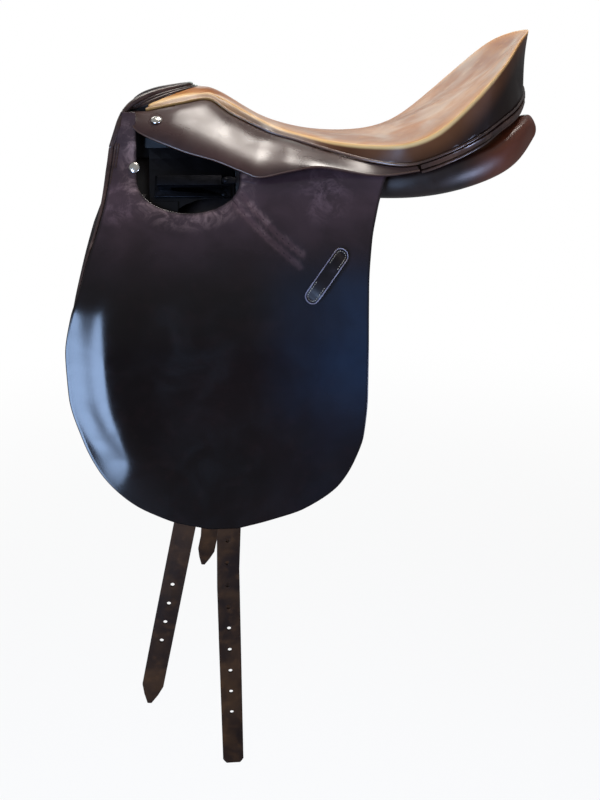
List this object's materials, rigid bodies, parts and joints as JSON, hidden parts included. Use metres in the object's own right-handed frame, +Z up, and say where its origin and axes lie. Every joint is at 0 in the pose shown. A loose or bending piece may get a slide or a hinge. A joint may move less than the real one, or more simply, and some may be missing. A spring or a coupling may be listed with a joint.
{
  "type": "english riding saddle",
  "caption": "English riding saddle with a deep seat, long straight flaps, stuffed panels, girth straps and stirrup bars on a sprung tree.",
  "frame": {"origin": "on the centre plane, under the lowest point of the seat, level with the horse's side of the panels there", "axes": "+Z up, +X towards the cantle, -Y the near side"},
  "size_m": [0.5374, 0.3998, 0.8599],
  "materials": {
    "tan_leather": "smooth waxed leather with a soft sheen",
    "dark_leather": "polished dark brown leather",
    "panel_leather": "dark brown leather over soft stuffing",
    "strap_leather": "oiled brown strap leather",
    "inner_leather": "unpolished brown leather",
    "forged_steel": "blackened forged steel",
    "black_beech": "laminated beech stained black",
    "sheet_steel": "plain sheet steel",
    "nickel": "polished nickel plate",
    "beech": "laminated beech",
    "linen": "woven linen web",
    "wool": "wool and foam padding"
  },
  "bodies": {
    "saddle": {"band_welt": "dark_leather", "bar_rivet_near_front": "forged_steel", "bar_rivet_near_rear": "forged_steel", "bar_rivet_off_front": "forged_steel", "bar_rivet_off_rear": "forged_steel", "cantle_board": "beech", "catch_pin_near": "forged_steel", "catch_pin_off": "forged_steel", "channel_lining": "inner_leather", "cross_web_front": "linen", "cross_web_rear": "linen", "flap_nail_near": "nickel", "flap_nail_off": "nickel", "flap_root_near": "dark_leather", "flap_root_off": "dark_leather", "girth_web_front": "linen", "girth_web_rear": "linen", "gullet_plate": "sheet_steel", "head_arch": "beech", "head_lining": "inner_leather", "head_plate": "sheet_steel", "head_rivet_near": "forged_steel", "head_rivet_off": "forged_steel", "knee_roll_near": "inner_leather", "knee_roll_off": "inner_leather", "long_web": "linen", "panel_near": "panel_leather", "panel_off": "panel_leather", "point_pocket_near": "inner_leather", "point_pocket_off": "inner_leather", "pommel_facing": "dark_leather", "pommel_roll": "dark_leather", "rear_band": "dark_leather", "seat_cover": "tan_leather", "seat_pad": "wool", "seat_welt": "dark_leather", "skirt_nail_near": "nickel", "skirt_nail_off": "nickel", "skirt_near": "dark_leather", "skirt_off": "dark_leather", "spring_strip_near": "sheet_steel", "spring_strip_off": "sheet_steel", "stirrup_bar_near": "forged_steel", "stirrup_bar_off": "forged_steel", "sweat_flap_near": "inner_leather", "sweat_flap_off": "inner_leather", "tree_cheek_near": "black_beech", "tree_cheek_off": "black_beech", "tree_plate": "beech"},
    "flap_near_body": {"flap_near": "dark_leather", "keeper_near": "dark_leather"},
    "flap_off_body": {"flap_off": "dark_leather", "keeper_off": "dark_leather"},
    "catch_near_body": {"bar_catch_near": "forged_steel"},
    "catch_off_body": {"bar_catch_off": "forged_steel"},
    "billet_near_front_body": {"billet_near_front": "strap_leather"},
    "billet_near_rear_body": {"billet_near_rear": "strap_leather"},
    "billet_off_front_body": {"billet_off_front": "strap_leather"},
    "billet_off_rear_body": {"billet_off_rear": "strap_leather"}
  },
  "joints": [
    {"name": "flap_near_lift", "type": "hinge", "parent": "saddle", "child": "flap_near_body", "pos_m": [-0.27438, -0.11325, 0.01455], "axis": [-0.9974, 0.0722, 0], "range_deg": [0, 90]},
    {"name": "flap_off_lift", "type": "hinge", "parent": "saddle", "child": "flap_off_body", "pos_m": [-0.27438, 0.11325, 0.01455], "axis": [0.9974, 0.0722, 0], "range_deg": [0, 90]},
    {"name": "catch_near_turn", "type": "hinge", "parent": "saddle", "child": "catch_near_body", "pos_m": [-0.14536, -0.11705, 0.02272], "axis": [-0.0584, -0.8068, 0.5879], "range_deg": [0, 75]},
    {"name": "catch_off_turn", "type": "hinge", "parent": "saddle", "child": "catch_off_body", "pos_m": [-0.14536, 0.11705, 0.02272], "axis": [0.0584, -0.8068, -0.5879], "range_deg": [0, 75]},
    {"name": "billet_near_front_swing", "type": "hinge", "parent": "saddle", "child": "billet_near_front_body", "pos_m": [-0.12678, -0.13295, -0.0165], "axis": [0, -1, 0], "range_deg": [-8, 2]},
    {"name": "billet_near_rear_swing", "type": "hinge", "parent": "saddle", "child": "billet_near_rear_body", "pos_m": [-0.08561, -0.1356, -0.0165], "axis": [0, -1, 0], "range_deg": [-1.5, 8]},
    {"name": "billet_off_front_swing", "type": "hinge", "parent": "saddle", "child": "billet_off_front_body", "pos_m": [-0.12068, 0.13326, -0.0165], "axis": [0, -1, 0], "range_deg": [-8, 0]},
    {"name": "billet_off_rear_swing", "type": "hinge", "parent": "saddle", "child": "billet_off_rear_body", "pos_m": [-0.07985, 0.13594, -0.0165], "axis": [0, -1, 0], "range_deg": [0, 8]}
  ]
}
